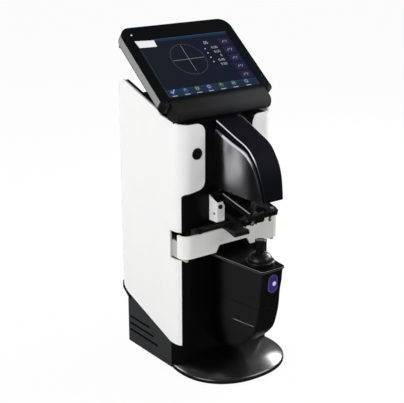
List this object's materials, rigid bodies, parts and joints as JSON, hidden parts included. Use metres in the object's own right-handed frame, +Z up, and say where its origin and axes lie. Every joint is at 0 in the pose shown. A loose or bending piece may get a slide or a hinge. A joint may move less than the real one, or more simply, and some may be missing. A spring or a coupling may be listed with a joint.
{
  "type": "automatic lensmeter",
  "caption": "Bench lensmeter: tilting touch display, white side shells, upper and lower optics housings, lens rest, sliding lens table, lens holder with marker, domed foot",
  "frame": {"origin": "On the floor under the middle of the bounding box", "axes": "+X is the device's right as seen by someone facing its front, -Y is the front with the optics housings, +Z is up. Metres."},
  "size_m": [0.182, 0.2428, 0.4586],
  "materials": {
    "white_shell": "satin moulded white plastic",
    "white_table": "satin moulded white plastic",
    "arm_white": "satin light grey plastic",
    "panel_black": "glossy black plastic",
    "head_gloss": "polished black plastic",
    "lid_black": "satin black plastic",
    "housing_black": "satin black plastic",
    "gloss_black": "glossy black plastic",
    "satin_black": "fine textured black plastic",
    "rest_black": "smooth black plastic",
    "holder_black": "satin black plastic",
    "pad_black": "soft black plastic",
    "button_black": "glossy black key",
    "button_violet": "satin violet key with a pale spot",
    "bezel_grey": "fine textured charcoal plastic",
    "silver_band": "silver painted plastic",
    "base_grey": "textured dark grey plastic",
    "rail_grey": "satin grey plastic",
    "socket_black": "black socket plastic",
    "feet": "matt rubber",
    "steel": "turned steel",
    "dark_steel": "blackened screw steel",
    "alloy": "machined alloy",
    "board": "solder-masked board",
    "optic_glass": "coated clear glass",
    "screen": "lit colour panel under clear glass",
    "lamp": "clear lamp lens"
  },
  "bodies": {
    "cabinet": {"base_plate": "gloss_black", "rubber_feet": "feet", "base_pan": "base_grey", "chassis_frame": "steel", "left_shell": "white_shell", "right_shell": "white_shell", "front_panel": "panel_black", "top_cover": "satin_black", "rear_cover": "satin_black", "head_housing": "head_gloss", "head_lid": "lid_black", "lower_housing": "housing_black", "lower_belly": "housing_black", "lower_top_plate": "satin_black", "lens_rest": "rest_black", "rest_ring": "rest_black", "cover_glass": "optic_glass", "beam_window": "optic_glass", "light_source": "alloy", "collimator_lens": "optic_glass", "camera_sensor": "board", "relay_lens": "alloy", "pivot_blocks": "white_shell", "yoke_ears": "satin_black", "holder_pivot_pin": "steel", "block_screws": "dark_steel", "hinge_brackets": "steel", "guide_rods": "steel", "rod_mounts": "satin_black", "main_board": "board", "power_supply": "alloy", "power_inlet": "socket_black", "data_ports": "steel", "cover_screws": "dark_steel", "hinge_pin": "steel", "marker_pivot_pin": "steel", "button_ring": "socket_black", "power_switch": "socket_black"},
    "display": {"display_bezel": "bezel_grey", "display_frame": "silver_band", "display_back": "satin_black", "lcd_panel": "screen", "status_led": "lamp", "display_screws": "dark_steel"},
    "lens_table": {"table_bumper": "white_table", "table_rail": "rail_grey", "table_arms": "arm_white", "rail_knobs": "socket_black"},
    "nose_slider": {"nose_pad": "pad_black"},
    "holder": {"holder_arm": "holder_black", "arm_screws": "steel"},
    "left_pin": {"left_lens_pin": "steel"},
    "right_pin": {"right_lens_pin": "steel"},
    "rear_pin": {"rear_lens_pin": "steel"},
    "marker": {"marker_arm": "holder_black", "marking_pins": "steel"},
    "read_key": {"read_button": "button_violet"},
    "side_key": {"side_button": "button_black"},
    "rocker": {"power_rocker": "socket_black"}
  },
  "joints": [
    {"name": "display_tilt", "type": "hinge", "parent": "cabinet", "child": "display", "pos_m": [0, -0.0074, 0.3605], "axis": [1, 0, 0], "range_deg": [-15, 25]},
    {"name": "table_slide", "type": "slide", "parent": "cabinet", "child": "lens_table", "axis": [0, -1, 0], "range_m": [0, 0.012]},
    {"name": "nose_slide", "type": "slide", "parent": "lens_table", "child": "nose_slider", "axis": [1, 0, 0], "range_m": [-0.033, 0.047]},
    {"name": "holder_swing", "type": "hinge", "parent": "cabinet", "child": "holder", "pos_m": [0, -0.0329, 0.2515], "axis": [1, 0, 0], "range_deg": [-5, 20]},
    {"name": "left_pin_slide", "type": "slide", "parent": "holder", "child": "left_pin", "axis": [0, -0.2267, 0.974], "range_m": [0, 0.004], "stiffness_N_per_m": 60, "springref_m": -0.004},
    {"name": "right_pin_slide", "type": "slide", "parent": "holder", "child": "right_pin", "axis": [0, -0.2267, 0.974], "range_m": [0, 0.004], "stiffness_N_per_m": 60, "springref_m": -0.004},
    {"name": "rear_pin_slide", "type": "slide", "parent": "holder", "child": "rear_pin", "axis": [0, -0.2267, 0.974], "range_m": [0, 0.004], "stiffness_N_per_m": 60, "springref_m": -0.004},
    {"name": "marker_press", "type": "hinge", "parent": "cabinet", "child": "marker", "pos_m": [0, -0.0359, 0.227], "axis": [1, 0, 0], "range_deg": [0, 8], "stiffness_Nm_per_rad": 0.02, "springref_deg": -14.32},
    {"name": "read_press", "type": "slide", "parent": "cabinet", "child": "read_key", "axis": [0, 1, 0], "range_m": [0, 0.0015], "stiffness_N_per_m": 400, "springref_m": -0.003},
    {"name": "side_press", "type": "slide", "parent": "cabinet", "child": "side_key", "axis": [0, 1, 0], "range_m": [0, 0.001], "stiffness_N_per_m": 400, "springref_m": -0.003},
    {"name": "rocker_tilt", "type": "hinge", "parent": "cabinet", "child": "rocker", "pos_m": [-0.0153, 0.1031, 0.0297], "axis": [-1, 0, 0], "range_deg": [0, 16]}
  ]
}
